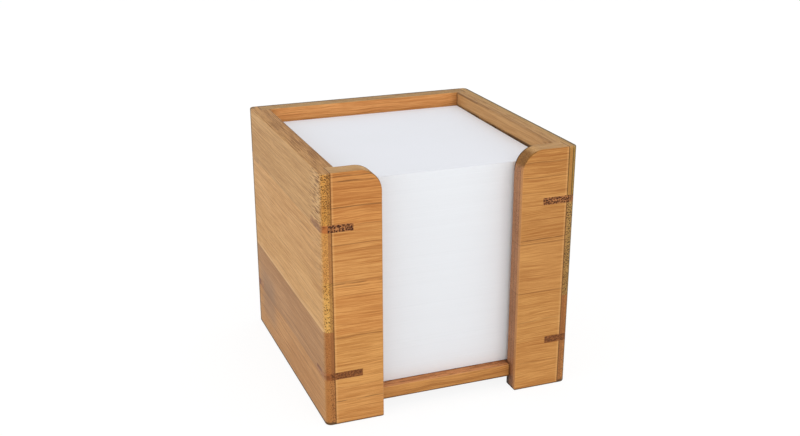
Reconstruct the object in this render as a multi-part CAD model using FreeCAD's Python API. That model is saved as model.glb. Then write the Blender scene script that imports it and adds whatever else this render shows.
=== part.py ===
import FreeCAD, Part
import os

# Open-fronted bamboo box for a block of memo sheets, in millimetres.
# Frame: X to the right, Y to the back, Z up. The origin is the middle of the foot, on the table.
# Each wall is a board edge-glued from staves that run along it, and each stave is a piece of its own.

# Paper block
SHEET_WIDTH = 90.0
SHEET_THICKNESS = 0.1
STACK_HEIGHT = 87.2
SHEET_GAP = 0.1

# Room around the paper
SIDE_CLEARANCE = 0.3
FRONT_CLEARANCE = 2.1
BACK_CLEARANCE = 1.5
RIM_ABOVE_PAPER = 6.6

# Boards
WALL = 7.7
FRONT_STRIP_WIDTH = 24.0
STRIP_TOP_RADIUS = 9.0
CORNER_RADIUS = 2.4
EDGE_EASE = 0.5

# Corner joint: a lip of the side wall covers the end of the front or back board
LIP = 3.85

# Base board, let into a groove in every wall
BASE_THICKNESS = 5.3
BASE_ABOVE_TABLE = 4.6
GROOVE_DEPTH = 2.8
GROOVE_END_GAP = 0.2

# Staves of each board: the height of its first glue line, and the width of the staves above it
SIDE_FIRST_GLUE_LINE = 20.0
SIDE_STAVE_WIDTH = 20.5
BACK_FIRST_GLUE_LINE = 20.0
BACK_STAVE_WIDTH = 20.5
LEFT_STRIP_FIRST_GLUE_LINE = 16.3
LEFT_STRIP_STAVE_WIDTH = 22.1
RIGHT_STRIP_FIRST_GLUE_LINE = 22.4
RIGHT_STRIP_STAVE_WIDTH = 21.4
NARROWEST_STAVE = 6.0

# Corner keys: thin triangular slabs glued into slots sawn across each corner.
# A key's reach is its length along the front or back. With its length along the side it makes KEY_SPAN.
KEY_THICKNESS = 3.0
KEY_SPAN = 27.0
LOWER_KEY_HEIGHT = 21.4
UPPER_KEY_BELOW_TOP = 21.5
FRONT_LEFT_UPPER_REACH = 12.5
FRONT_LEFT_LOWER_REACH = 15.3
FRONT_RIGHT_UPPER_REACH = 14.4
FRONT_RIGHT_LOWER_REACH = 10.8
BACK_LEFT_UPPER_REACH = 13.0
BACK_LEFT_LOWER_REACH = 15.5
BACK_RIGHT_UPPER_REACH = 14.0
BACK_RIGHT_LOWER_REACH = 12.0
KEY_REACH = {
    ("front", "left", "upper"): FRONT_LEFT_UPPER_REACH,
    ("front", "left", "lower"): FRONT_LEFT_LOWER_REACH,
    ("front", "right", "upper"): FRONT_RIGHT_UPPER_REACH,
    ("front", "right", "lower"): FRONT_RIGHT_LOWER_REACH,
    ("back", "left", "upper"): BACK_LEFT_UPPER_REACH,
    ("back", "left", "lower"): BACK_LEFT_LOWER_REACH,
    ("back", "right", "upper"): BACK_RIGHT_UPPER_REACH,
    ("back", "right", "lower"): BACK_RIGHT_LOWER_REACH,
}

# Two places closer together than this are the same place
SAME_PLACE = 1e-6

# Sizes worked out from the values above
pocket_width = SHEET_WIDTH + 2 * SIDE_CLEARANCE
pocket_depth = SHEET_WIDTH + FRONT_CLEARANCE + BACK_CLEARANCE
width = pocket_width + 2 * WALL
depth = pocket_depth + 2 * WALL
base_top = BASE_ABOVE_TABLE + BASE_THICKNESS
stack_foot = base_top + SHEET_GAP
stack_top = stack_foot + STACK_HEIGHT
paper_top = stack_top + SHEET_GAP + SHEET_THICKNESS
height = paper_top + RIM_ABOVE_PAPER
outer_x = width / 2
outer_y = depth / 2
inner_x = pocket_width / 2
inner_y = pocket_depth / 2
joint_x = outer_x - LIP
opening_x = outer_x - FRONT_STRIP_WIDTH
paper_middle_y = (FRONT_CLEARANCE - BACK_CLEARANCE) / 2


def block(x0, x1, y0, y1, z0, z1):
    """Return a box between two corners."""
    return Part.makeBox(x1 - x0, y1 - y0, z1 - z0, FreeCAD.Vector(x0, y0, z0))


def is_upright(edge):
    """Say whether an edge is straight and vertical."""
    foot, head = edge.Vertexes[0].Point, edge.Vertexes[-1].Point
    run = head - foot
    return abs(run.x) < SAME_PLACE and abs(run.y) < SAME_PLACE and abs(run.z) > SAME_PLACE


def is_exposed(edge):
    """Say whether an edge is one that sanding eases: a rim, a foot or a side of the open front."""
    middle = edge.valueAt((edge.FirstParameter + edge.LastParameter) / 2)
    if not is_upright(edge):
        return True
    return abs(abs(middle.x) - opening_x) < SAME_PLACE


def front_opening():
    """Return the cutter for the open front, with the strips' inner top corners left round."""
    opening = block(-opening_x, opening_x, -outer_y - WALL, -inner_y, -WALL, height + WALL)
    corner_z = height - STRIP_TOP_RADIUS
    for side in (-1, 1):
        near, far = sorted((side * opening_x, side * (opening_x + STRIP_TOP_RADIUS)))
        corner = block(near, far, -outer_y - WALL, -inner_y, corner_z, height + WALL)
        middle = FreeCAD.Vector(side * (opening_x + STRIP_TOP_RADIUS), -outer_y - WALL, corner_z)
        round_corner = Part.makeCylinder(STRIP_TOP_RADIUS, 2 * WALL, middle, FreeCAD.Vector(0, 1, 0))
        opening = opening.fuse(corner.cut(round_corner))
    return opening.removeSplitter()


def glued_box():
    """Return the four walls as one sanded body, which every stave and key is trimmed to."""
    shell = block(-outer_x, outer_x, -outer_y, outer_y, 0, height)
    shell = shell.makeFillet(CORNER_RADIUS, [edge for edge in shell.Edges if is_upright(edge)])
    shell = shell.cut(block(-inner_x, inner_x, -inner_y, inner_y, -WALL, height + WALL))
    shell = shell.cut(front_opening())
    return shell.makeFillet(EDGE_EASE, [edge for edge in shell.Edges if is_exposed(edge)])


def base_board():
    """Return the thin board that carries the paper."""
    reach = GROOVE_DEPTH - GROOVE_END_GAP
    return block(-inner_x - reach, inner_x + reach, -inner_y - reach, inner_y + reach,
                 BASE_ABOVE_TABLE, base_top)


def base_groove():
    """Return the cutter for the groove that takes the base board's edges."""
    return block(-inner_x - GROOVE_DEPTH, inner_x + GROOVE_DEPTH, -inner_y - GROOVE_DEPTH,
                 inner_y + GROOVE_DEPTH, BASE_ABOVE_TABLE, base_top)


def key_slab(end, side, level):
    """Return the untrimmed triangular slab of one corner key, which is also its slot."""
    along_x = KEY_REACH[(end, side, level)]
    along_y = KEY_SPAN - along_x
    sign_x = -1 if side == "left" else 1
    sign_y = -1 if end == "front" else 1
    middle_z = LOWER_KEY_HEIGHT if level == "lower" else height - UPPER_KEY_BELOW_TOP
    foot_z = middle_z - KEY_THICKNESS / 2
    corner = FreeCAD.Vector(sign_x * outer_x, sign_y * outer_y, foot_z)
    on_end = corner - FreeCAD.Vector(sign_x * along_x, 0, 0)
    on_side = corner - FreeCAD.Vector(0, sign_y * along_y, 0)
    outline = Part.Face(Part.makePolygon([corner, on_end, on_side, corner]))
    return outline.extrude(FreeCAD.Vector(0, 0, KEY_THICKNESS))


def side_board(sign):
    """Return a side wall: full depth, with a rabbet at each end for the front and back boards."""
    near, far = sorted((sign * inner_x, sign * outer_x))
    board = block(near, far, -outer_y, outer_y, 0, height)
    near, far = sorted((sign * inner_x, sign * joint_x))
    for sign_y in (-1, 1):
        front, back = sorted((sign_y * inner_y, sign_y * outer_y))
        board = board.cut(block(near, far, front, back, 0, height))
    return board


def end_board(near_x, far_x, sign_y):
    """Return a front strip or the back wall, between two distances across the box."""
    front, back = sorted((sign_y * inner_y, sign_y * outer_y))
    return block(near_x, far_x, front, back, 0, height)


def glue_lines(first, stave_width):
    """Return the heights of a board's glue lines, leaving no sliver under its top edge."""
    count = 1 + int((height - NARROWEST_STAVE - first) // stave_width)
    return [first + number * stave_width for number in range(count)]


def staves(name, board, lines, trims, shell):
    """Trim a board, part it at its glue lines and return its staves by name, from the foot up."""
    trimmed = board.common(shell)
    for trim in trims:
        trimmed = trimmed.cut(trim)
    pieces = {}
    for number, (foot, head) in enumerate(zip([0.0] + lines, lines + [height]), start=1):
        level = block(-width, width, -depth, depth, foot, head)
        pieces[f"{name}_stave_{number}"] = trimmed.common(level)
    return pieces


def paper_block(foot, thickness):
    """Return a square block of sheets that stands at a height in the box."""
    half = SHEET_WIDTH / 2
    return block(-half, half, paper_middle_y - half, paper_middle_y + half, foot, foot + thickness)


def build():
    """Return every piece of the holder by its name."""
    shell = glued_box()
    slabs = {corner: key_slab(*corner) for corner in KEY_REACH}
    trims = [base_groove()] + list(slabs.values())
    side_lines = glue_lines(SIDE_FIRST_GLUE_LINE, SIDE_STAVE_WIDTH)
    boards = {
        "left_side": (side_board(-1), side_lines),
        "right_side": (side_board(1), side_lines),
        "back": (end_board(-joint_x, joint_x, 1), glue_lines(BACK_FIRST_GLUE_LINE, BACK_STAVE_WIDTH)),
        "front_left": (end_board(-joint_x, -opening_x, -1),
                       glue_lines(LEFT_STRIP_FIRST_GLUE_LINE, LEFT_STRIP_STAVE_WIDTH)),
        "front_right": (end_board(opening_x, joint_x, -1),
                        glue_lines(RIGHT_STRIP_FIRST_GLUE_LINE, RIGHT_STRIP_STAVE_WIDTH)),
    }
    pieces = {"base_board": base_board()}
    for name, (board, lines) in boards.items():
        pieces.update(staves(name, board, lines, trims, shell))
    for (end, side, level), slab in slabs.items():
        pieces[f"key_{end}_{side}_{level}"] = slab.common(shell)
    pieces["memo_stack"] = paper_block(stack_foot, STACK_HEIGHT)
    pieces["top_sheet"] = paper_block(stack_top + SHEET_GAP, SHEET_THICKNESS)
    return pieces


def export(pieces):
    """Write each piece to its own STEP file."""
    os.makedirs("parts", exist_ok=True)
    for name, shape in pieces.items():
        whole = shape.Solids[0] if len(shape.Solids) == 1 else shape
        whole.exportStep(f"parts/{name}.step")


export(build())
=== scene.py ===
import logging
import math
import random
from dataclasses import dataclass, replace
from enum import Enum

import bpy
from mathutils import Matrix, Vector


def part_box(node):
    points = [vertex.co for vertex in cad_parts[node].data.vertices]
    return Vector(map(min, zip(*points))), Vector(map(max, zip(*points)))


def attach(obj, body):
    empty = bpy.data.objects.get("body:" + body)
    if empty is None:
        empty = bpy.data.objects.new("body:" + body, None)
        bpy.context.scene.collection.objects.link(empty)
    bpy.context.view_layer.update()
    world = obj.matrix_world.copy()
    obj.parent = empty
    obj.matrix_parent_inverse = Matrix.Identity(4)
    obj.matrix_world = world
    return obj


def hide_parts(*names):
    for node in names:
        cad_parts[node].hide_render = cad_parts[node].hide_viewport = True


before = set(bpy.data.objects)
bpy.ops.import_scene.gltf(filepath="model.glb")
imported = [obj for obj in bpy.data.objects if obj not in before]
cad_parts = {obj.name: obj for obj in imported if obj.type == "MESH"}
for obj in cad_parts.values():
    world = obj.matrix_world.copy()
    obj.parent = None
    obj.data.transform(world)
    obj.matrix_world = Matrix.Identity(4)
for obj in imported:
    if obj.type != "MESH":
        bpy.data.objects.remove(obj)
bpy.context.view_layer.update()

# Many marks on the boards are painted shade, and a few are painted highlights.
# Looks of an open-fronted bamboo box and of the block of memo sheets that it holds.
# Every stave has its own finish: fibres along it, dark bundles that are dashes on its faces and dots on its
# ends, and glue lines. The paper is sheaves of sheets that have slid a little, under a loose sheet.
# Pieces, lamps and the camera are sized in metres. A finish has its places and lengths in millimetres, its
# colours as the screen shows them, and its strengths from 0, which is none.

LOG = logging.getLogger("memo_box")
MM = 0.001
Rgb = tuple[float, float, float]
Span = tuple[float, float]
Socket = bpy.types.NodeSocket
Material = bpy.types.Material
Piece = bpy.types.Object
Place = tuple[object, ...]


def tone(colour: Rgb) -> Rgb:
    """Turn a screen colour, with channels from 0 to 255, into the linear one that a shader takes."""
    levels = [channel / 255 for channel in colour]
    return tuple(v / 12.92 if v <= 0.04045 else ((v + 0.055) / 1.055) ** 2.4 for v in levels)


OPEN = 1000.0


def past(least: float) -> Span:
    """Give the span that begins at a distance and has no end."""
    return least, OPEN


def upto(most: float) -> Span:
    """Give the span that ends at a distance and has no beginning."""
    return -OPEN, most


EVERYWHERE: Span = (-OPEN, OPEN)


class Grain(Enum):
    """The way that the fibres of a board run: across the box or front to back."""

    ACROSS = "X"
    DEPTH = "Y"


class Bench:
    """Builds the node tree of one material or world, a node at a time."""

    def __init__(self, owner: Material | bpy.types.World) -> None:
        """Start an empty tree.

        Args:
            owner: The material or world that the tree is for.
        """
        owner.use_nodes = True
        owner.node_tree.nodes.clear()
        self.owner = owner
        self.tree = owner.node_tree

    def add(self, kind: str, **settings: object) -> bpy.types.Node:
        """Add a node and set its properties.

        Args:
            kind: The node's type.
            **settings: Properties of the node and their values.

        Returns:
            The new node.
        """
        node = self.tree.nodes.new(kind)
        for key, value in settings.items():
            setattr(node, key, value)
        return node

    def feed(self, socket: Socket, value: object) -> None:
        """Link a socket to another, or set its value.

        Args:
            socket: The input to fill.
            value: An output socket, a number, a point, or a linear colour.
        """
        if isinstance(value, Socket):
            self.tree.links.new(value, socket)
        elif socket.type == "RGBA":
            socket.default_value = (*value, 1.0)
        else:
            socket.default_value = value

    def joined(self, kind: str, values: Place | dict[str, object], **settings: object) -> Socket:
        """Add a node and fill its inputs.

        Args:
            kind: The node's type.
            values: What its inputs take, in their order or by their names.
            **settings: Properties of the node and their values.

        Returns:
            The socket of its first result.
        """
        node = self.add(kind, **settings)
        for key in values if isinstance(values, dict) else range(len(values)):
            self.feed(node.inputs[key], values[key])
        return node.outputs[0]

    def sum(self, operation: str, *values: object) -> Socket:
        """Do a sum, such as ADD, on numbers."""
        return self.joined("ShaderNodeMath", values, operation=operation)

    def times(self, first: object, second: object) -> Socket:
        """Multiply two numbers."""
        return self.sum("MULTIPLY", first, second)

    def size(self, value: object) -> Socket:
        """Take a number without its sign."""
        return self.sum("ABSOLUTE", value)

    def swing(self, level: object, reach: float, base: object) -> Socket:
        """Move a number up and down by its reach, with a noise that is about 0.5 on average."""
        return self.sum("MULTIPLY_ADD", self.sum("SUBTRACT", level, 0.5), reach, base)

    def step(self, value: object, low: float, high: float) -> Socket:
        """Rise smoothly from 0 to 1 between two values, or fall where the first is the greater."""
        limits = (low, high, 0.0, 1.0) if low <= high else (high, low, 1.0, 0.0)
        return self.joined("ShaderNodeMapRange", (value, *limits), interpolation_type="SMOOTHSTEP")

    def split(self, point: Socket) -> Place:
        """Part a point into its three numbers."""
        return tuple(self.joined("ShaderNodeSeparateXYZ", (point,)).node.outputs)

    def blend(self, amount: object, first: object, second: object) -> Socket:
        """Lay one colour over another.

        Args:
            amount: How much of the second shows, from 0 to 1.
            first: The colour below, as a socket or a screen colour.
            second: The colour above.

        Returns:
            The result's socket.
        """
        node = self.add("ShaderNodeMix", data_type="RGBA")
        self.feed(node.inputs["Factor"], amount)
        layers = [socket for socket in node.inputs if socket.type == "RGBA"]
        for socket, colour in zip(layers, (first, second)):
            self.feed(socket, colour if isinstance(colour, Socket) else tone(colour))
        return node.outputs[2]

    def place(self) -> Place:
        """Read the place on the piece, in millimetres."""
        source = self.add("ShaderNodeTexCoord").outputs["Object"]
        return self.split(self.joined("ShaderNodeMapping", {"Vector": source, "Scale": (1 / MM,) * 3}))

    def normal(self) -> Place:
        """Read the way that the surface faces."""
        return self.split(self.add("ShaderNodeTexCoord").outputs["Normal"])

    def close(self, kind: str, surface: Socket) -> None:
        """End the tree with an output node of the given type."""
        self.feed(self.add(kind).inputs["Surface"], surface)

    def parted(self, lighting: Socket, seen: Socket) -> Socket:
        """Use one shader for the rays that light the box and another for the rays that see it.

        Args:
            lighting: The shader for rays that light the box.
            seen: The shader for rays from the camera, or from a gloss or glass that it sees.

        Returns:
            The socket of both together.
        """
        path = self.add("ShaderNodeLightPath")
        sight = self.sum("MAXIMUM", path.outputs["Is Camera Ray"], path.outputs["Is Glossy Ray"])
        sight = self.sum("MAXIMUM", sight, path.outputs["Is Transmission Ray"])
        return self.joined("ShaderNodeMixShader", (sight, lighting, seen))

    def finish(self, colour: object, rough: object, height: object, relief: float, shine: float) -> Material:
        """Close a material's tree with its surface.

        Args:
            colour: The surface's colour.
            rough: Its roughness.
            height: Its relief, from 0 to 1.
            relief: The depth of that relief, in metres.
            shine: How strongly it reflects at a slant.

        Returns:
            The material.
        """
        bump = self.joined("ShaderNodeBump", {"Strength": 1.0, "Distance": relief, "Height": height})
        surface = self.joined("ShaderNodeBsdfPrincipled", {
            "Base Color": colour, "Roughness": rough, "Specular IOR Level": shine, "Normal": bump})
        self.close("ShaderNodeOutputMaterial", surface)
        return self.owner


@dataclass(frozen=True)
class Pattern:
    """A noise, or a crowd of cells, that is stretched along the fibres.

    A spot in it is a place along the fibres, across them and into the board.
    """

    rates: tuple[float, float, float]  # the pattern's changes per millimetre, for each number of a spot
    detail: float = 1  # how many finer layers the noise has
    rough: float = 0.5  # how strong they are
    scatter: float = 1.0  # how far the cells stray from an even grid

    def stretched(self, bench: Bench, spot: Place) -> Socket:
        """Give the point at which the pattern is read for a spot."""
        rated = tuple(bench.times(value, rate) for value, rate in zip(spot, self.rates))
        return bench.joined("ShaderNodeCombineXYZ", rated)

    def noise(self, bench: Bench, spot: Place) -> Socket:
        """Read a soft noise, which is about 0.5 on average."""
        return bench.joined("ShaderNodeTexNoise", {"Vector": self.stretched(bench, spot), "Scale": 1.0,
                                                   "Detail": self.detail, "Roughness": self.rough})

    def cells(self, bench: Bench, spot: Place) -> Socket:
        """Read the distance to the middle of the nearest cell."""
        return bench.joined("ShaderNodeTexVoronoi", {"Vector": self.stretched(bench, spot), "Scale": 1.0,
                                                     "Randomness": self.scatter})


@dataclass(frozen=True)
class EndGrain:
    """The cut ends of a stave's fibres."""

    pale: Rgb  # between the fibres
    deep: Rgb  # the fibres
    dot: Rgb  # the cut fibre tubes
    dots: float  # how strongly they show

    def drawn(self, bench: Bench, shade: object, dots: object) -> Socket:
        """Colour a face that is cut across the fibres, by how deep it is and where the tubes are."""
        colour = bench.blend(shade, self.pale, self.deep)
        return bench.blend(bench.times(dots, self.dots), colour, self.dot)


# The colour of glue lines and dark veins, and of the marks that paint shade without a colour of their own
SEAM_AND_SHADE = (88, 52, 24)


@dataclass(frozen=True)
class Mark:
    """A line or patch of another colour on a board: a glue line, a patch of its own colour, painted shade or
    a painted highlight.
    """

    strength: float  # how strongly it shows, from 0 to 1
    wide: Span = EVERYWHERE  # its distances from the box's middle plane, to either side
    deep: Span = EVERYWHERE  # its distances from the middle, to the front or back
    high: Span = EVERYWHERE  # its heights
    along: Span = EVERYWHERE  # its distances behind the middle, where only one end has the mark
    colour: Rgb = SEAM_AND_SHADE
    soft: float = 0.25  # the width over which it fades

    def lay(self, bench: Bench, colour: object, spot: Place) -> Socket:
        """Lay the mark over a colour.

        Args:
            bench: Holds the nodes.
            colour: The colour without it.
            spot: The distances from the two middle planes, the height, and the distance behind the middle.

        Returns:
            The socket of the colour with it.
        """
        amount = self.strength
        for value, (least, most) in zip(spot, (self.wide, self.deep, self.high, self.along)):
            if least > -OPEN:
                amount = bench.times(bench.step(value, least - self.soft, least + self.soft), amount)
            if most < OPEN:
                amount = bench.times(bench.step(value, most + self.soft, most - self.soft), amount)
        return bench.blend(amount, colour, self.colour)


Marks = tuple[Mark, ...]


def lay_marks(bench: Bench, colour: object, marks: Marks, place: Place) -> Socket:
    """Lay marks over a colour, one after another.

    Args:
        bench: Holds the nodes.
        colour: The colour without them.
        marks: The marks, the lowest first.
        place: The place on the piece.

    Returns:
        The socket of the colour with them.
    """
    x, y, z = place
    spot = (bench.size(x), bench.size(y), z, y)
    for mark in marks:
        colour = mark.lay(bench, colour, spot)
    return colour


# How far apart the patterns of two staves lie, along the fibres and across them
NEXT_RUN = 137.0
NEXT_LEVEL = 61.0

# The bends of the fibres, each with its reach as a share of the finish's wave
SWAYS = ((Pattern((0.032, 0.05, 7.0)), 4.0), (Pattern((0.13, 0.25, 7.0)), 0.6))

# The layers of a stave's pattern
FIBRES = Pattern((0.06, 2.9, 2.9), detail=4, rough=0.74)
BANDS = Pattern((0.014, 0.8, 0.8), detail=2)
DRIFT = Pattern((0.012, 0.06, 0.06))
BUNDLES = Pattern((0.06, 1.7, 1.7))
STREAKS = Pattern((0.026, 1.9, 1.9), detail=2, rough=0.55)
SPLINTERS = Pattern((0.17, 2.1, 2.1))
BREAKS = Pattern((0.11, 1.0, 1.0), detail=2)
TUBES = Pattern((0.05, 1.75, 1.75), scatter=0.8)
CROWDS = Pattern((0.02, 0.3, 0.3))

# Where each thing begins to show and where it shows in full: levels of a pattern, or distances.
# Then the strength of the bundles on a top edge, and half the thickness of a glue line.
STREAK_SPAN = (0.54, 0.66)
FLECK_SPAN = (0.36, 0.12)
SPLIT_SPAN = (0.5, 0.2)
SPLINTER_SPAN = (0.5, 0.75)
VEIN_SPAN = (0.36, 0.06)
BREAK_SPAN = (0.3, 0.52)
TUBE_SPAN = (0.52, 0.26)
CROWD_SPAN = (0.15, 0.5)
RIM_FLECK_SPAN = (0.4, 0.15)
RIM_SHADE_SPAN = (0.1, 1.1)
RIM_FLECKS = 0.35
GLUE_HALF = 0.05

# How far a surface faces along the fibres, or upwards, before it shows cut ends or the rim's colours
CUT_SPAN = (0.3, 0.8)
TURN_UP_SPAN = (0.1, 0.4)
TURN_END_SPAN = (0.1, 0.35)
TURN_STRENGTH = 0.85
RIM_SPAN = (0.78, 0.97)

# Torn fibres at the front end of a side wall, where splinters are raised beside splits
TORN_RAGGED = 16.0
TORN_FADE = 8.0
TORN_RAISED = 0.5
TORN_SPLIT = (100, 58, 24)
TORN_SPLINTER = (244, 206, 150)


@dataclass(frozen=True)
class Bamboo:
    """The finish of bamboo staves that are sanded and oiled."""

    pale: Rgb  # between the fibres
    deep: Rgb  # the fibres
    streak: Rgb  # the dark streaks and bundles
    ends: EndGrain
    rim: Rgb  # the top edge, between the fibres
    rim_deep: Rgb  # the fibres there
    turn: EndGrain  # the cut ends where they turn upwards
    grain: Grain
    wave: float = 0.75  # how far the fibres bend up and down, in millimetres
    fibre: float = 3.2  # the strength of the fine fibres
    band: float = 0.7  # of their bands
    drift: float = 0.8  # of the slow change of colour
    streaks: float = 0.5  # of the dark streaks
    flecks: float = 0.25  # of the dark bundles
    torn: float = 0.0  # of the torn fibres at the front end
    torn_from: float = 47.5  # how far in front of the middle they begin
    veins: tuple[Span, ...] = ()  # the height and the strength of each dark vein
    glue: float = 0.3  # the strength of the glue lines
    marks: Marks = ()
    rough: float = 0.54  # the least roughness
    rougher: float = 0.14  # what the deepest colour adds to it
    relief: float = 0.035 * MM  # its depth, in metres
    shine: float = 0.22

    def dress(self, name: str, number: int, glue_lines: tuple[float, ...] = ()) -> Material:
        """Make the material of one stave.

        Args:
            name: The material's name.
            number: The stave's own number, which moves its pattern.
            glue_lines: The heights of the glue lines beside it.

        Returns:
            The material.
        """
        bench = Bench(bpy.data.materials.new(name))
        place = bench.place()
        x, y, z = place
        normal = bench.normal()
        across_box = self.grain is Grain.ACROSS
        run, deep = (x, y) if across_box else (y, x)
        level = self.swayed(bench, run, z, number)
        spot = (bench.sum("ADD", run, NEXT_RUN * number), bench.sum("ADD", level, NEXT_LEVEL * number), deep)

        fibres = FIBRES.noise(bench, spot)
        bundles = BUNDLES.cells(bench, spot)
        shade = self.shade(bench, spot, fibres)
        tubes = bench.step(TUBES.cells(bench, spot), *TUBE_SPAN)
        dots = bench.times(tubes, bench.step(CROWDS.noise(bench, spot), *CROWD_SPAN))
        facing = bench.size(normal[0] if across_box else normal[1])
        colour = self.face(bench, spot, shade, bundles, run, level)
        colour = bench.blend(bench.step(facing, *CUT_SPAN), colour, self.ends.drawn(bench, shade, dots))
        turned = bench.times(bench.step(normal[2], *TURN_UP_SPAN), bench.step(facing, *TURN_END_SPAN))
        colour = bench.blend(bench.times(turned, TURN_STRENGTH), colour, self.turn.drawn(bench, shade, dots))
        fleck = bench.times(bench.step(bundles, *RIM_FLECK_SPAN), RIM_FLECKS)
        edge = bench.step(bench.sum("ADD", shade, fleck), *RIM_SHADE_SPAN)
        rim = bench.blend(edge, self.rim, self.rim_deep)
        colour = bench.blend(bench.step(normal[2], *RIM_SPAN), colour, rim)
        seams = tuple(Mark(self.glue, high=(line - GLUE_HALF, line + GLUE_HALF)) for line in glue_lines)
        colour = lay_marks(bench, colour, self.marks + seams, place)
        rough = bench.sum("MULTIPLY_ADD", shade, self.rougher, self.rough)
        return bench.finish(colour, rough, fibres, self.relief, self.shine)

    def swayed(self, bench: Bench, run: object, z: object, number: int) -> Socket:
        """Bend the fibres up and down along their run.

        Args:
            bench: Holds the nodes.
            run: The distance along the fibres.
            z: The height.
            number: The stave's own number.

        Returns:
            The height that a place had before the bend.
        """
        level = z
        for sway, share in SWAYS:
            level = bench.swing(sway.noise(bench, (run, z, number)), share * self.wave, level)
        return level

    def shade(self, bench: Bench, spot: Place, fibres: object) -> Socket:
        """Say how deep the colour is, from the fibres, their bands and a slow drift.

        Args:
            bench: Holds the nodes.
            spot: The place in the stave's pattern.
            fibres: The level of the fine fibres.

        Returns:
            The socket of a level from 0, pale, to 1, deep.
        """
        depth = bench.swing(fibres, self.fibre, 0.5)
        depth = bench.swing(BANDS.noise(bench, spot), self.band, depth)
        depth = bench.swing(DRIFT.noise(bench, spot), self.drift, depth)
        return bench.step(depth, 0.0, 1.0)

    def face(self, bench: Bench, spot: Place, shade: object, bundles: object, run: object,
             level: object) -> Socket:
        """Colour the faces that run along the fibres.

        Args:
            bench: Holds the nodes.
            spot: The place in the stave's pattern.
            shade: How deep the colour is.
            bundles: The distance from the dark bundles.
            run: The distance along the fibres.
            level: The height that a place had before the fibres were bent.

        Returns:
            The socket of their colour.
        """
        lines = STREAKS.noise(bench, spot)
        colour = bench.blend(shade, self.pale, self.deep)
        for dark, strength in ((bench.step(lines, *STREAK_SPAN), self.streaks),
                               (bench.step(bundles, *FLECK_SPAN), self.flecks)):
            colour = bench.blend(bench.times(dark, strength), colour, self.streak)
        if self.torn:
            colour = self.torn_end(bench, colour, spot, lines, run)
        for height, strength in self.veins:
            gap = bench.size(bench.sum("SUBTRACT", level, height))
            broken = BREAKS.noise(bench, (run, height, 0.0))
            dark = bench.times(bench.step(gap, *VEIN_SPAN), bench.step(broken, *BREAK_SPAN))
            colour = bench.blend(bench.times(dark, strength), colour, SEAM_AND_SHADE)
        return colour

    def torn_end(self, bench: Bench, colour: object, spot: Place, lines: object, run: object) -> Socket:
        """Lay short splits and pale splinters over the front end of a side wall's face.

        Args:
            bench: Holds the nodes.
            colour: The colour without them.
            spot: The place in the stave's pattern.
            lines: The level of the dark streaks, which makes their zone ragged.
            run: The distance along the fibres, which is less towards the front.

        Returns:
            The socket of the colour with them.
        """
        ragged = bench.swing(lines, TORN_RAGGED, bench.times(run, -1.0))
        near = bench.step(ragged, self.torn_from - TORN_FADE, self.torn_from + TORN_FADE)
        near = bench.times(near, self.torn)
        short = SPLINTERS.cells(bench, spot)
        raised = bench.times(bench.step(short, *SPLINTER_SPAN), TORN_RAISED)
        colour = bench.blend(bench.times(raised, near), colour, TORN_SPLINTER)
        return bench.blend(bench.times(bench.step(short, *SPLIT_SPAN), near), colour, TORN_SPLIT)


# The layers of a key's pattern, at rates across the box, front to back and up, and their spans
KEY_GRIT = Pattern((1.6, 0.16, 1.6), detail=3, rough=0.6)
GRIT_SPAN = (0.3, 0.7)
KEY_TUBES = Pattern((1.5, 0.15, 1.5), scatter=0.8)
KEY_TUBE_SPAN = (0.68, 0.42)
KEY_PLIES = Pattern((0.3, 0.3, 1.3), detail=2)
PLY_SPAN = (0.42, 0.58)
KEY_FIBRES = Pattern((1.5, 0.12, 1.5), detail=3, rough=0.6)
KEY_FIBRE_SPAN = (0.35, 0.65)
KEY_WEAR = Pattern((1.0, 0.22, 0.8), detail=2, rough=0.6)
WEAR_SPAN = (0.42, 0.66)
SIDE_SPAN = (0.65, 0.97)
LIP_FADE = (-0.2, 0.3)
LIP_STRENGTH = 0.9
NEXT_KEY = 31.0


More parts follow.
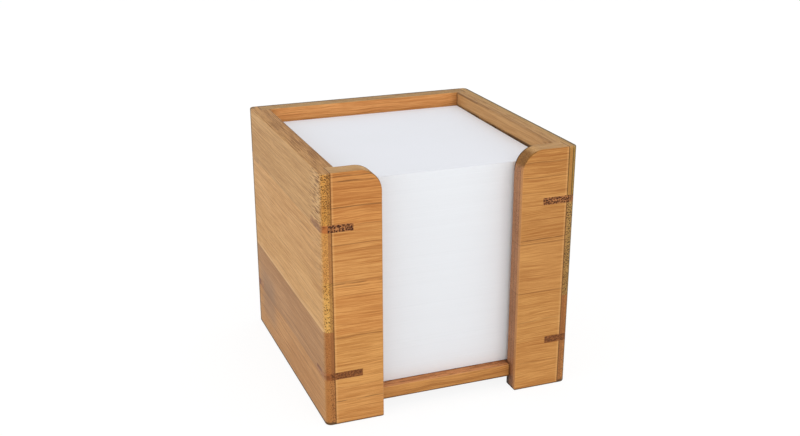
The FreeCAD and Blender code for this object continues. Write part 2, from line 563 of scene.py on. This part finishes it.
@dataclass(frozen=True)
class KeyBamboo:
    """The finish of the dark keys, which show cut ends at the front and long fibres at the side."""

    pale: Rgb  # between the cut fibres
    deep: Rgb  # the cut fibres
    dot: Rgb  # the cut fibre tubes
    dots: float  # how strongly they show
    lip: Rgb  # the pale colour where the key crosses the side wall's cut end
    lip_deep: Rgb  # the deep colour there
    lip_from: float  # how far from the middle that begins, in millimetres
    side: Rgb  # the long fibres at the side: their pale colour
    side_deep: Rgb  # their deep colour
    worn: Rgb  # the wood where the key is sanded away
    wear: float = 0.8  # how strongly that shows
    marks: Marks = ()
    rough: float = 0.54  # the least roughness
    rougher: float = 0.15  # what the deepest colour adds to it
    relief: float = 0.03 * MM  # its depth, in metres
    shine: float = 0.22

    def dress(self, name: str, number: int) -> Material:
        """Make the material of one key.

        Args:
            name: The material's name.
            number: The key's own number, which moves its pattern.

        Returns:
            The material.
        """
        bench = Bench(bpy.data.materials.new(name))
        place = bench.place()
        x, y, z = place
        spot = (bench.sum("ADD", x, NEXT_KEY * number), y, z)
        grit = KEY_GRIT.noise(bench, spot)
        colour = bench.blend(bench.step(grit, *GRIT_SPAN), self.pale, self.deep)
        tubes = bench.step(KEY_TUBES.cells(bench, spot), *KEY_TUBE_SPAN)
        colour = bench.blend(bench.times(tubes, self.dots), colour, self.dot)
        lip = bench.blend(bench.step(KEY_PLIES.noise(bench, place), *PLY_SPAN), self.lip, self.lip_deep)
        beyond = bench.step(bench.size(x), *(self.lip_from + fade for fade in LIP_FADE))
        colour = bench.blend(bench.times(beyond, LIP_STRENGTH), colour, lip)
        fibres = bench.step(KEY_FIBRES.noise(bench, place), *KEY_FIBRE_SPAN)
        side = bench.blend(fibres, self.side, self.side_deep)
        wear = bench.step(KEY_WEAR.noise(bench, (number, y, z)), *WEAR_SPAN)
        side = bench.blend(bench.times(wear, self.wear), side, self.worn)
        colour = bench.blend(bench.step(bench.size(bench.normal()[0]), *SIDE_SPAN), colour, side)
        colour = lay_marks(bench, colour, self.marks, place)
        rough = bench.sum("MULTIPLY_ADD", grit, self.rougher, self.rough)
        return bench.finish(colour, rough, grit, self.relief, self.shine)


# The layers of the paper's pattern, at rates across the box, front to back and up, with the share that
# each has in its pair, and their spans
SHEET_EDGES = Pattern((0.01, 0.01, 3.5), detail=4, rough=0.7)
SHEAVES = Pattern((0.004, 0.004, 0.35), detail=2)
TOOTH = Pattern((1.0, 1.0, 1.0), detail=3, rough=0.6)
CLOUDS = Pattern((0.05, 0.05, 1.0), detail=2)
SHEET_SHARE = 0.75
SHEAF_SHARE = 0.25
TOOTH_SHARE = 0.3
CLOUD_SHARE = 0.7
SHADOW_SPAN = (0.35, 0.75)
EDGE_SPAN = (0.8, 0.3)


@dataclass(frozen=True)
class Paper:
    """The finish of white writing paper, with the cut edges of its sheets."""

    face: Rgb
    edge: Rgb
    shadow: Rgb  # the lines between the edges, and the faint clouds on a face
    clouds: float = 0.22  # how strongly the clouds show
    rough: float = 0.86
    relief: float = 0.004 * MM  # its depth, in metres
    shine: float = 0.2

    def dress(self, name: str) -> Material:
        """Make the material.

        Args:
            name: The material's name.

        Returns:
            The material.
        """
        bench = Bench(bpy.data.materials.new(name))
        place = bench.place()
        side_on = bench.step(bench.size(bench.normal()[2]), *EDGE_SPAN)
        sheets = SHEET_EDGES.noise(bench, place)
        sheaves = SHEAVES.noise(bench, place)
        lines = bench.sum("MULTIPLY_ADD", sheaves, SHEAF_SHARE, bench.times(sheets, SHEET_SHARE))
        edge = bench.blend(bench.step(lines, *SHADOW_SPAN), self.edge, self.shadow)
        tooth = TOOTH.noise(bench, place)
        clouds = bench.times(CLOUDS.noise(bench, place), CLOUD_SHARE)
        mottle = bench.sum("MULTIPLY_ADD", tooth, TOOTH_SHARE, clouds)
        cloudy = bench.times(bench.step(mottle, *SHADOW_SPAN), self.clouds)
        colour = bench.blend(side_on, bench.blend(cloudy, self.face, self.shadow), edge)
        height = bench.sum("MULTIPLY_ADD", side_on, bench.sum("SUBTRACT", sheets, tooth), tooth)
        return bench.finish(colour, self.rough, height, self.relief, self.shine)


class Hand:
    """The hand work on meshes: each method leaves object mode behind it."""

    @staticmethod
    def clear() -> None:
        """Deselect everything."""
        if bpy.context.mode != "OBJECT":
            bpy.ops.object.mode_set(mode="OBJECT")
        bpy.ops.object.select_all(action="DESELECT")

    @staticmethod
    def take(piece: Piece) -> None:
        """Select one piece alone.

        Args:
            piece: The piece.
        """
        Hand.clear()
        piece.select_set(True)
        bpy.context.view_layer.objects.active = piece

    @staticmethod
    def settle(piece: Piece, name: str) -> Piece:
        """Name a piece and put its place into its mesh.

        Args:
            piece: The piece.
            name: Its name.

        Returns:
            The piece.
        """
        Hand.take(piece)
        piece.name = name
        piece.data.name = name
        bpy.ops.object.transform_apply(location=True, rotation=True, scale=True)
        return piece

    @staticmethod
    def apply(piece: Piece, kind: str, **settings: object) -> None:
        """Add a modifier and apply it.

        Args:
            piece: The piece.
            kind: The modifier's type.
            **settings: Its properties and their values.
        """
        Hand.take(piece)
        modifier = piece.modifiers.new(kind.title(), kind)
        for key, value in settings.items():
            setattr(modifier, key, value)
        bpy.ops.object.modifier_apply(modifier=modifier.name)


def put_on(piece: Piece, material: Material) -> None:
    """Give a piece one material."""
    piece.data.materials.clear()
    piece.data.materials.append(material)


@dataclass
class Board:
    """One wall of the box: staves glued edge to edge, each with its own finish."""

    name: str  # the first words of its staves' names
    finishes: tuple[Bamboo, ...]  # one for each stave, from the foot up, and the last one for the rest
    first: int  # the number that its staves' patterns start from

    def dress(self) -> None:
        """Give each stave its material, from the foot up."""
        staves = sorted(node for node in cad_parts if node.startswith(f"{self.name}_stave_"))
        for number, node in enumerate(staves):
            low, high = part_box(node)
            finish = self.finishes[min(number, len(self.finishes) - 1)]
            material = finish.dress(node, self.first + number, (low.z / MM, high.z / MM))
            put_on(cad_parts[node], material)
            LOG.info("%s: stave dressed", node)


@dataclass
class MemoBlock:
    """The loose sheets: a stack of sheaves that have slid a little, and the sheet on top."""

    paper: Paper
    slide: float = 0.02 * MM  # how far a sheaf has slid at most
    ledge: float = 0.006 * MM  # the height over which one sheaf gives way to the next
    gap: float = 0.5 * MM  # how far the sheets end short of their room at the right
    thinnest: float = 0.5 * MM  # the least thickness of a sheaf
    thickest: float = 2.4 * MM  # the greatest
    seed: int = 90
    upward: float = 0.9  # how far a face must face upwards to be the top one
    sheet_cells: int = 36  # how many cells the top sheet has along each side
    ripple: float = 0.16 * MM  # how high it swells
    ripple_size: float = 45 * MM  # how far apart its swells are
    hem: float = 14 * MM  # the width of its border, in which they fade
    curl: float = 0.8 * MM  # how high its back edge curls up
    smooth_angle: float = 30.0  # the greatest angle that looks smooth, in degrees

    def build(self) -> None:
        """Make the stack and the top sheet, and dress them."""
        material = self.paper.dress("paper")
        for piece, body in ((self.stack(), "memo_stack"), (self.top_sheet(), "top_sheet")):
            put_on(piece, material)
            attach(piece, body)
            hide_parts(body)
            LOG.info("%s: paper modelled, %d faces", piece.name, len(piece.data.polygons))

    def room(self, node: str) -> tuple[Vector, Vector]:
        """Give the corners of the space for a node's paper, which leaves a gap at the right wall."""
        low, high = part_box(node)
        return low, high - Vector((self.gap, 0, 0))

    def stack(self) -> Piece:
        """Model the stack, a sheaf at a time, from the lowest up.

        Returns:
            The stack.
        """
        chance = random.Random(self.seed)
        low, high = self.room("memo_stack")
        size = high - low
        middle = (low + high) / 2
        rise = chance.uniform(self.thinnest, self.thickest)
        Hand.clear()
        bpy.ops.mesh.primitive_cube_add(size=1, location=(middle.x, middle.y, low.z + rise / 2))
        piece = bpy.context.object
        piece.scale = (size.x - 2 * self.slide, size.y - 2 * self.slide, rise)
        Hand.settle(piece, "memo_sheaves")
        bpy.ops.object.mode_set(mode="EDIT")
        bpy.ops.mesh.select_mode(type="FACE")
        bpy.ops.mesh.select_all(action="DESELECT")
        bpy.ops.object.mode_set(mode="OBJECT")
        for face in piece.data.polygons:
            face.select = face.normal.z > self.upward
        bpy.ops.object.mode_set(mode="EDIT")
        left = size.z - rise
        place = Vector((0.0, 0.0))
        while left > 0:
            rise = min(left, chance.uniform(self.thinnest, self.thickest))
            if left - rise < self.thinnest:
                rise = left
            goal = Vector((chance.uniform(-1, 1), chance.uniform(-1, 1))) * self.slide
            shift = goal - place
            for move in ((shift.x, shift.y, self.ledge), (0, 0, rise - self.ledge)):
                bpy.ops.mesh.extrude_region_move(TRANSFORM_OT_translate={"value": move})
            place = goal
            left -= rise
        bpy.ops.mesh.select_all(action="SELECT")
        bpy.ops.mesh.sort_elements(type="CURSOR_DISTANCE", elements={"FACE"})  # in one order each run
        bpy.ops.object.mode_set(mode="OBJECT")
        return piece

    def top_sheet(self) -> Piece:
        """Model the sheet on top, which swells a little between its edges and curls up at the back.

        Returns:
            The sheet.
        """
        low, high = self.room("top_sheet")
        middle = (low + high) / 2
        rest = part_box("memo_stack")[1].z + self.ledge
        Hand.clear()
        bpy.ops.mesh.primitive_grid_add(x_subdivisions=self.sheet_cells, y_subdivisions=self.sheet_cells,
                                        size=1, location=(middle.x, middle.y, rest))
        piece = bpy.context.object
        piece.scale = (high.x - low.x, high.y - low.y, 1)
        Hand.settle(piece, "loose_sheet")
        free = piece.vertex_groups.new(name="free")
        rear = piece.vertex_groups.new(name="rear")
        for vertex in piece.data.vertices:
            x, y, _ = vertex.co
            inset = min(x - low.x, high.x - x, y - low.y, high.y - y)
            free.add([vertex.index], min(1.0, inset / self.hem), "REPLACE")
            rear.add([vertex.index], ((y - low.y) / (high.y - low.y)) ** 2, "REPLACE")
        swell = bpy.data.textures.new("sheet_swell", type="CLOUDS")
        swell.noise_scale = self.ripple_size
        swell.noise_depth = 1
        Hand.apply(piece, "DISPLACE", texture=swell, texture_coords="LOCAL", strength=self.ripple,
                   mid_level=0.0, vertex_group="free")
        Hand.apply(piece, "DISPLACE", direction="Z", strength=self.curl, mid_level=0.0, vertex_group="rear")
        Hand.apply(piece, "SOLIDIFY", thickness=high.z - low.z, offset=1.0)
        piece.select_set(True)
        bpy.ops.object.shade_smooth_by_angle(angle=math.radians(self.smooth_angle))
        return piece


@dataclass(frozen=True)
class Lamp:
    """A soft square lamp that faces the box."""

    name: str
    place: tuple[float, float, float]
    size: float  # the length of its side
    power: float  # in watts
    aim: tuple[float, float, float] = (0, 0, 0.05)

    def hang(self) -> None:
        """Hang the lamp."""
        data = bpy.data.lights.new(self.name, "AREA")
        data.shape = "SQUARE"
        data.size = self.size
        data.energy = self.power
        lamp = bpy.data.objects.new(self.name, data)
        bpy.context.scene.collection.objects.link(lamp)
        lamp.location = Vector(self.place)
        lamp.rotation_mode = "QUATERNION"
        lamp.rotation_quaternion = (Vector(self.aim) - lamp.location).to_track_quat("-Z", "Y")


@dataclass
class Studio:
    """A white floor, plain soft light and the camera.

    Its lengths are in metres, but the lens and the sensor are in millimetres. Its angles are in degrees.
    """

    key: Lamp = Lamp("key", (0.1, -1.45, 0.5), 1.2, 5.8)
    side: Lamp = Lamp("side", (-1.3, -0.25, 0.6), 0.8, 1.7)
    sky: float = 0.8  # how brightly the room lights the box
    floor_half: float = 3.0  # half the floor's side
    floor_drop: float = 0.05 * MM  # how far it lies under the box
    floor_grey: float = 0.8  # how pale it is as it lights the box
    floor_shade: float = 0.16  # how pale it is to the camera, so that a faint shadow shows
    floor_glow: float = 0.88  # how brightly it glows to the camera
    eye: tuple[float, float, float] = (-0.15963, -0.41745, 0.22174)
    azimuth: float = -20.758
    elevation: float = 21.164
    roll: float = -0.102
    lens: float = 49.196
    sensor: float = 36.0
    rise: float = 0.0371  # how far the picture is shifted up, as a share of its width
    near: float = 0.01  # the least distance that is seen

    def build(self) -> None:
        """Set up the floor, the light and the camera."""
        self.floor()
        self.world()
        self.key.hang()
        self.side.hang()
        self.camera()
        bpy.context.scene.view_settings.view_transform = "Standard"
        LOG.info("studio: floor, room, lamps and camera set up")

    def floor(self) -> None:
        """Lay the floor, which shows white and keeps a faint shadow."""
        Hand.clear()
        bpy.ops.mesh.primitive_plane_add(size=2 * self.floor_half, location=(0, 0, -self.floor_drop))
        floor = Hand.settle(bpy.context.object, "floor")
        bench = Bench(bpy.data.materials.new("floor"))
        matt, faint = (bench.joined("ShaderNodeBsdfDiffuse", ((grey, grey, grey),))
                       for grey in (self.floor_grey, self.floor_shade))
        glow = bench.joined("ShaderNodeEmission", {"Strength": self.floor_glow})
        both = bench.joined("ShaderNodeAddShader", (faint, glow))
        bench.close("ShaderNodeOutputMaterial", bench.parted(matt, both))
        put_on(floor, bench.owner)

    def world(self) -> None:
        """Light the room evenly, and show it white."""
        world = bpy.data.worlds.new("room")
        bpy.context.scene.world = world
        bench = Bench(world)
        even, white = (bench.joined("ShaderNodeBackground", ((1, 1, 1), strength))
                       for strength in (self.sky, 1.0))
        bench.close("ShaderNodeOutputWorld", bench.parted(even, white))

    def camera(self) -> None:
        """Set up the camera, level but for a trace of roll."""
        turn, tilt, lean = (math.radians(angle) for angle in (self.azimuth, self.elevation, self.roll))
        back = Vector((math.sin(turn) * math.cos(tilt), -math.cos(turn) * math.cos(tilt), math.sin(tilt)))
        right = (-back).cross(Vector((0, 0, 1))).normalized()
        above = back.cross(right)
        side = math.cos(lean) * right + math.sin(lean) * above
        top = math.cos(lean) * above - math.sin(lean) * right
        data = bpy.data.cameras.new("camera")
        data.sensor_width = self.sensor
        data.lens = self.lens
        data.shift_y = self.rise
        data.clip_start = self.near
        camera = bpy.data.objects.new("camera", data)
        bpy.context.scene.collection.objects.link(camera)
        turned = Matrix((side, top, back)).transposed().to_4x4()
        camera.matrix_world = Matrix.Translation(Vector(self.eye)) @ turned
        bpy.context.scene.camera = camera


# The glue joints of the walls, and the painted shade along their feet, edges and corners and beside the
# paper
JOINT_AT = 49.15
BAND_TO = JOINT_AT + 1.4
CUT_FACE = past(54.0)
RIM_LEVEL = 103.4
AT_RIM = past(RIM_LEVEL)
JOINT = Mark(0.9, wide=(JOINT_AT - 0.15, JOINT_AT + 0.15), deep=past(46.8), colour=(82, 50, 22), soft=0.15)
# Painted shade: a dark line along the foot of a board, where the floor's contact shadow falls
FOOT_SHADE = Mark(0.8, high=upto(0.7), colour=(84, 56, 28), soft=0.2)
# Painted shade: a wider dark line along the foot of a side wall, where the floor's contact shadow falls
SIDE_FOOT_SHADE = Mark(0.85, high=upto(1.3), colour=(78, 58, 34), soft=0.3)
# Painted shade on a side wall's inner face, in the corners where the back wall and the front strips meet it
INNER_CORNER_SHADE = Mark(0.45, wide=upto(45.5), deep=past(46.3), high=upto(RIM_LEVEL))
# Painted shade on the rounded inner top edge of a side wall
INNER_EDGE_SHADE = Mark(0.3, wide=upto(46.1), high=AT_RIM, colour=(112, 72, 36), soft=0.3)
# Painted shade: thin dark lines along the inner top edge of a side wall, towards the back
INNER_RIM_SHADE_LINES = (
    Mark(0.2, wide=upto(45.7), high=AT_RIM, along=past(12.0), soft=0.12),
    Mark(0.4, wide=upto(45.65), high=AT_RIM, along=past(24.0), soft=0.1),
)
# Painted shadow on a side wall's inner face, just above the paper's top, where the paper meets it
PAPER_SHADOW_LINE = tuple(
    Mark(0.42, wide=upto(45.5), deep=upto(46.2), high=(96.6, top), along=(front, back), colour=(56, 32, 14))
    for top, front, back in ((98.5, 22.0, OPEN), (98.2, 4.0, 34.0), (98.0, -OPEN, 14.0), (98.1, -OPEN, 8.0),
                             (98.3, -OPEN, -8.0)))
# Painted shade on the rounded outer top edge of a side wall
OUTER_EDGE_SHADE = Mark(0.85, wide=past(51.7), high=AT_RIM, colour=(84, 70, 42), soft=0.2)
# Painted shade along the rounded upright outer corners of the right wall
OUTER_CORNER_SHADE = Mark(0.7, wide=past(51.9), deep=past(51.6), colour=(104, 82, 44), soft=0.3)
# Painted shade along the rounded upright back corner of the left wall
REAR_CORNER_SHADE = Mark(0.7, wide=past(50.7), along=(50.6, 54.1), colour=(106, 86, 54), soft=0.5)
# Painted shade along the back wall's rounded outer top edge
BACK_EDGE_SHADE = Mark(0.8, deep=past(52.7), high=AT_RIM, colour=(88, 70, 44), soft=0.3)


def side_finish(pale: Rgb, deep: Rgb, streak: Rgb, ends: EndGrain, marks: Marks, **rest: object) -> Bamboo:
    """Make the finish of a side wall's stave from its own colours, marks and other fields."""
    turn = EndGrain(pale, deep, streak, dots=0.4)
    return Bamboo(pale=pale, deep=deep, streak=streak, ends=ends, turn=turn, grain=Grain.DEPTH, wave=0.4,
                  # Every side stave gets the glue joint, and painted shade along its foot, inner corner,
                  # inner top edge and beside the paper.
                  marks=marks + (JOINT, SIDE_FOOT_SHADE, INNER_CORNER_SHADE, INNER_EDGE_SHADE) + PAPER_SHADOW_LINE, **rest)


# Cut ends: their pale colour, their deep one, that of their dots, and how strongly the dots show
SPECKLED = EndGrain((218, 158, 78), (186, 122, 52), (72, 42, 16), 0.95)
SPECKLED_LOW = EndGrain((230, 178, 96), (198, 138, 64), (92, 54, 18), 0.95)
SPECKLED_DARK = EndGrain((188, 146, 82), (150, 110, 56), (48, 30, 12), 1.0)
AMBER = EndGrain((220, 160, 85), (190, 128, 63), (110, 66, 28), 0.65)
OLIVE_END = EndGrain((184, 144, 70), (154, 114, 50), (96, 68, 28), 0.35)
BROWN_END = EndGrain((188, 124, 66), (156, 96, 46), (98, 58, 28), 0.45)
BROWN_FOOT = EndGrain((194, 132, 72), (160, 100, 50), (80, 46, 22), 0.8)
RUSSET_END = EndGrain((192, 138, 99), (154, 104, 71), (104, 66, 44), 0.4)
OLIVE_TOP = EndGrain((156, 106, 32), (112, 72, 14), (84, 54, 22), 0.6)


def side_staves(low: EndGrain, middle: EndGrain, top: EndGrain, marks: Marks,
                rim: tuple[Rgb, Rgb], bands: tuple[float, ...]) -> tuple[Bamboo, ...]:
    """Make the finishes of a side wall's staves, from the foot up.

    Args:
        low: The cut ends of the third stave.
        middle: The cut ends of the fourth.
        top: The cut ends of the fifth.
        marks: The wall's own marks: patches and lines of its own colour, and painted shade along its edges
            and corners.
        rim: The pale and deep colours of its top edge.
        bands: How strongly each cut end shows its band without dots, beside the corner joint.

    Returns:
        The five finishes.
    """
    tints = ((152, 98, 52), (146, 92, 50), (156, 106, 54), (164, 108, 58), (128, 80, 36))
    plain = [marks + (Mark(strength, wide=upto(BAND_TO), deep=CUT_FACE, colour=tint, soft=0.15),)
             for strength, tint in zip(bands, tints)]
    tops = {"rim": rim[0], "rim_deep": rim[1]}
    return (
        side_finish((214, 160, 101), (184, 131, 81), (150, 102, 62), BROWN_FOOT, plain[0],
                    veins=((16.0, 0.3),), glue=0.4, fibre=2.2, band=0.5, drift=0.9, **tops),
        side_finish((200, 151, 101), (172, 125, 83), (140, 100, 66), BROWN_END, plain[1],
                    glue=0.3, fibre=2.2, band=0.4, drift=0.9, **tops),
        side_finish((228, 179, 116), (200, 148, 92), (172, 122, 74), low, plain[2],
                    glue=0.1, torn=0.12, **tops),
        side_finish((226, 176, 115), (198, 146, 91), (168, 120, 74), middle, plain[3],
                    glue=0.1, torn=0.35, **tops),
        side_finish((218, 171, 112), (188, 141, 90), (164, 118, 72), top, plain[4],
                    glue=0.15, veins=((82.6, 0.2),), torn=0.85, torn_from=42.0, **tops),
    )


GREY_PATCH = Mark(0.4, high=(8.0, 30.0), along=(22.0, 44.0), colour=(140, 114, 94), soft=5.0)
AMBER_PATCH = Mark(0.6, wide=past(49.0), deep=CUT_FACE, high=(80.0, 90.0), colour=(210, 150, 68), soft=2.5)
AMBER_FOOT = Mark(0.6, wide=past(51.0), deep=past(53.0), high=upto(20.0), colour=(184, 122, 62), soft=0.5)
LIGHT_SEAM = Mark(0.4, wide=past(52.5), high=(40.5, 42.0), colour=(238, 194, 138), soft=0.4)
AMBER_BAND = Mark(0.5, wide=(49.5, 50.7), deep=CUT_FACE, high=past(84.0), colour=(192, 124, 64), soft=0.15)
INNER_FACE = Mark(0.3, wide=upto(46.1), deep=upto(47.0), high=past(92.0), colour=(182, 132, 80), soft=0.3)
OLIVE_RIM = Mark(0.3, wide=past(49.6), high=AT_RIM, colour=(182, 152, 88), soft=1.0)
DARK_LINE = Mark(0.8, wide=(50.75, 51.2), deep=CUT_FACE, high=past(84.0), colour=(92, 66, 28), soft=0.12)
# Among these marks, the dark lines along rounded corners and edges are painted shade; the patches, bands and
# seams are the walls' own colours.
LEFT_SIDE = side_staves(SPECKLED_LOW, AMBER, SPECKLED,
                        (AMBER_PATCH, AMBER_FOOT, LIGHT_SEAM, GREY_PATCH, REAR_CORNER_SHADE),
                        ((200, 148, 86), (144, 98, 54)), (0.15, 0.6, 0.65, 0.7, 0.35))
RIGHT_SIDE = side_staves(SPECKLED_DARK, SPECKLED_DARK, OLIVE_END,
                         (AMBER_BAND, DARK_LINE, INNER_FACE, OLIVE_RIM, OUTER_EDGE_SHADE, OUTER_CORNER_SHADE)
                         + INNER_RIM_SHADE_LINES,
                         ((194, 147, 88), (148, 104, 56)), (0.6, 0.6, 0.2, 0.2, 0.0))

# The front strips: the reach of the marks on their sides at the opening, and all their marks, many of them
# painted shade and one a painted highlight
OPENING = 29.0
OPEN_EDGE = upto(OPENING + 0.2)
OPEN_SIDE = upto(OPENING + 0.4)
STRIP_RIM = (214, 168, 110)
STRIP_RIM_DEEP = (180, 134, 80)
STRIP_LINES_SHADE_AND_HIGHLIGHT = (
    # Painted shade along the back edge of a strip's inner side
    Mark(0.7, wide=upto(OPENING + 0.45), deep=upto(47.3), soft=0.2),
    Mark(0.55, wide=OPEN_SIDE, deep=past(52.8), colour=(206, 146, 84)),
    Mark(0.45, wide=OPEN_EDGE, deep=(49.9, 50.3), soft=0.25),
    Mark(0.4, wide=OPEN_EDGE, deep=(52.4, 52.8)),
    # Painted highlight: a pale line on the front face beside the corner joint
    Mark(0.25, wide=(48.2, 48.9), deep=CUT_FACE, colour=(236, 182, 118), soft=0.15),
    # Painted shade along the back edge of a strip's rounded top and flat top
    Mark(0.85, wide=upto(36.4), deep=(46.86, 47.75), high=past(94.5), colour=(58, 38, 16), soft=0.05),
    Mark(0.25, wide=(36.4, 45.0), deep=(46.86, 47.6), high=past(102.0), colour=(98, 64, 32), soft=0.05),
    FOOT_SHADE,
)
# Painted shade on the strips' inner sides: around the base board's end in its groove, in the dark recess
# under the base, and along the foot
GROOVE_SHADE = (
    Mark(0.6, wide=OPEN_SIDE, deep=upto(51.6), high=(3.6, 11.2), colour=(116, 66, 28), soft=0.5),
    Mark(0.45, wide=OPEN_SIDE, deep=upto(49.9), high=(4.0, 10.5), colour=(84, 46, 18)),
    Mark(0.5, wide=OPEN_SIDE, deep=upto(52.6), high=upto(6.0), soft=1.2),
    Mark(0.95, wide=OPEN_SIDE, deep=upto(49.3), high=upto(4.8), colour=(26, 14, 6), soft=0.8),
    Mark(0.8, wide=OPEN_SIDE, deep=upto(53.4), high=upto(0.9), colour=(36, 20, 8), soft=0.4),
)


def strip_finish(pale: Rgb, deep: Rgb, marks: Marks = (), **rest: object) -> Bamboo:
    """Make the finish of a front strip's stave from its own colours, marks and other fields."""
    # Every strip stave gets the glue joint and the strips' shared marks, which paint shade at its foot and
    # back edges and a highlight beside the joint.
    return Bamboo(pale=pale, deep=deep, streak=(158, 92, 36), ends=RUSSET_END, turn=OLIVE_TOP, rim=STRIP_RIM,
                  rim_deep=STRIP_RIM_DEEP, grain=Grain.ACROSS, marks=STRIP_LINES_SHADE_AND_HIGHLIGHT + marks + (JOINT,), **rest)


LEFT_LINE = (Mark(0.22, high=(60.3, 60.8)),)
RIGHT_LINES = (Mark(0.32, high=(43.6, 43.9)), Mark(0.26, high=(64.9, 65.3)))
FRONT_LEFT = (
    strip_finish((227, 167, 97), (193, 129, 66), GROOVE_SHADE, wave=0.5, veins=((16.5, 0.3), (10.0, 0.55))),
    strip_finish((226, 166, 95), (194, 131, 66), wave=0.5, veins=((37.5, 0.3),), glue=0.2),
    strip_finish((228, 165, 94), (196, 128, 64), LEFT_LINE, wave=0.6,
                 veins=((59.8, 0.5), (58.6, 0.25)), glue=0.2),
    strip_finish((222, 161, 92), (189, 122, 60), LEFT_LINE, wave=0.5, veins=((75.5, 0.3),), glue=0.25),
    strip_finish((222, 156, 86), (184, 115, 54), wave=0.5,
                 veins=((83.0, 0.3), (90.3, 0.6), (100.2, 0.7), (102.2, 0.55))),
)
FRONT_RIGHT = (
    strip_finish((218, 159, 89), (184, 123, 61), GROOVE_SHADE, veins=((12.0, 0.25),)),
    strip_finish((218, 160, 90), (184, 124, 62), RIGHT_LINES, veins=((31.0, 0.25),), glue=0.35, streaks=0.4),
    strip_finish((214, 155, 87), (178, 118, 59), RIGHT_LINES, wave=0.6, fibre=2.6,
                 band=0.4, streaks=0.25, glue=0.45),
    strip_finish((214, 155, 87), (180, 120, 59), RIGHT_LINES,
                 veins=((67.0, 0.6), (75.0, 0.1)), glue=0.45, streaks=0.4),
    strip_finish((214, 154, 85), (176, 115, 55), veins=((93.5, 0.3), (99.0, 0.35)), glue=0.35),
)
# Painted shade in the back wall's inner corners, beside the side walls
BACK_CORNER_SHADE = Mark(0.45, wide=past(44.9), deep=upto(47.0))
# Painted shadow of the side walls, falling on the back wall's inner face near its corners
BACK_SHADE = Mark(0.5, wide=past(42.8), deep=upto(47.0), colour=(132, 96, 52), soft=2.0)
BACK = replace(strip_finish((230, 165, 98), (198, 128, 68)), wave=0.9, glue=0.2, rim=(192, 150, 92),
               rim_deep=(146, 106, 60), marks=(FOOT_SHADE, BACK_EDGE_SHADE, BACK_CORNER_SHADE, BACK_SHADE, JOINT))

# The base board, with painted shade on its underside, at its ends beside the strips and on its top beside
# the paper, and a painted highlight along its top front edge
BASE = Bamboo(
    pale=(212, 150, 82), deep=(172, 112, 54), streak=(140, 80, 36), ends=RUSSET_END,
    rim=(214, 142, 84), rim_deep=(140, 82, 42), grain=Grain.ACROSS, wave=1.1,
    turn=EndGrain((212, 150, 96), (180, 120, 70), (150, 90, 50), 0.3),
    fibre=3.6, band=1.4, drift=1.6, flecks=0.1, marks=(
        # Painted shade on the underside and the lower edge
        Mark(0.8, high=upto(5.05), colour=(70, 44, 20), soft=0.2),
        # Painted highlight along the top front edge
        Mark(0.5, deep=past(49.1), high=past(9.6), colour=(226, 166, 104), soft=0.15),
        # Painted shade where the ends meet the strips
        Mark(0.75, wide=past(28.7), colour=(84, 46, 18), soft=0.3),
        # Painted shade on the top near the paper, and its contact shadow at the paper's foot
        Mark(0.2, deep=upto(46.3), high=past(9.6), colour=(96, 54, 30), soft=1.0),
        Mark(0.5, deep=upto(45.0), high=past(9.6), colour=(84, 48, 28), soft=0.3)))

# The keys, with the number that their patterns start from and the dark strokes on their long fibres
FIRST_KEY = 60
KEY_UPPER = KeyBamboo(
    pale=(194, 128, 76), deep=(140, 86, 42), dot=(66, 30, 8), dots=1.0,
    lip=(190, 114, 54), lip_deep=(140, 76, 32), lip_from=BAND_TO,
    side=(184, 134, 90), side_deep=(156, 108, 70), worn=(208, 162, 108), wear=0.6)
KEY_LOWER = KeyBamboo(
    pale=(154, 94, 48), deep=(122, 70, 30), dot=(74, 38, 16), dots=0.6,
    lip=(166, 98, 48), lip_deep=(130, 74, 34), lip_from=BAND_TO,
    side=(182, 128, 86), side_deep=(156, 104, 68), worn=(190, 142, 98))
STROKE = (122, 80, 62)
LOW_STROKE = (Mark(0.75, wide=past(52.2), deep=(43.2, 49.5), high=past(21.6), colour=STROKE, soft=0.6),)
REAR_STROKE = (Mark(0.75, wide=past(50.9), deep=(47.8, 53.8), colour=STROKE, soft=0.8),)
HIGH_STROKE = (Mark(0.55, wide=past(52.2), deep=(42.0, 52.5), high=(81.6, 83.4), colour=(138, 98, 70),
                    soft=0.8),)
KEY_END = (Mark(0.28, wide=past(50.0), deep=CUT_FACE, colour=(184, 128, 78), soft=0.4),)
KEYS = {
    "key_back_left_lower": replace(KEY_LOWER, marks=REAR_STROKE),
    "key_back_left_upper": replace(KEY_UPPER, side=(198, 152, 102), side_deep=(174, 130, 86)),
    "key_back_right_lower": replace(KEY_LOWER, marks=REAR_STROKE),
    "key_back_right_upper": replace(KEY_UPPER, marks=HIGH_STROKE),
    "key_front_left_lower": replace(KEY_LOWER, marks=LOW_STROKE),
    "key_front_left_upper": replace(KEY_UPPER, marks=HIGH_STROKE),
    "key_front_right_lower": replace(KEY_LOWER, lip_from=OPEN, marks=LOW_STROKE),
    "key_front_right_upper": replace(KEY_UPPER, lip_from=OPEN, marks=HIGH_STROKE + KEY_END),
}


def main() -> None:
    """Dress every stave, key and board, model the paper and light the scene."""
    logging.basicConfig(level=logging.INFO, format="%(name)s: %(message)s")
    boards = (
        Board("left_side", LEFT_SIDE, first=1),
        Board("right_side", RIGHT_SIDE, first=11),
        Board("back", (BACK,), first=21),
        Board("front_left", FRONT_LEFT, first=31),
        Board("front_right", FRONT_RIGHT, first=41),
    )
    for board in boards:
        board.dress()
    put_on(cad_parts["base_board"], BASE.dress("base_board", number=51))
    LOG.info("base_board: dressed")
    for number, (node, finish) in enumerate(KEYS.items(), start=FIRST_KEY):
        put_on(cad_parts[node], finish.dress(node, number))
        LOG.info("%s: key dressed", node)
    MemoBlock(Paper(face=(243, 245, 251), edge=(241, 244, 248), shadow=(238, 241, 245))).build()
    Studio().build()


if __name__ == "__main__":
    main()
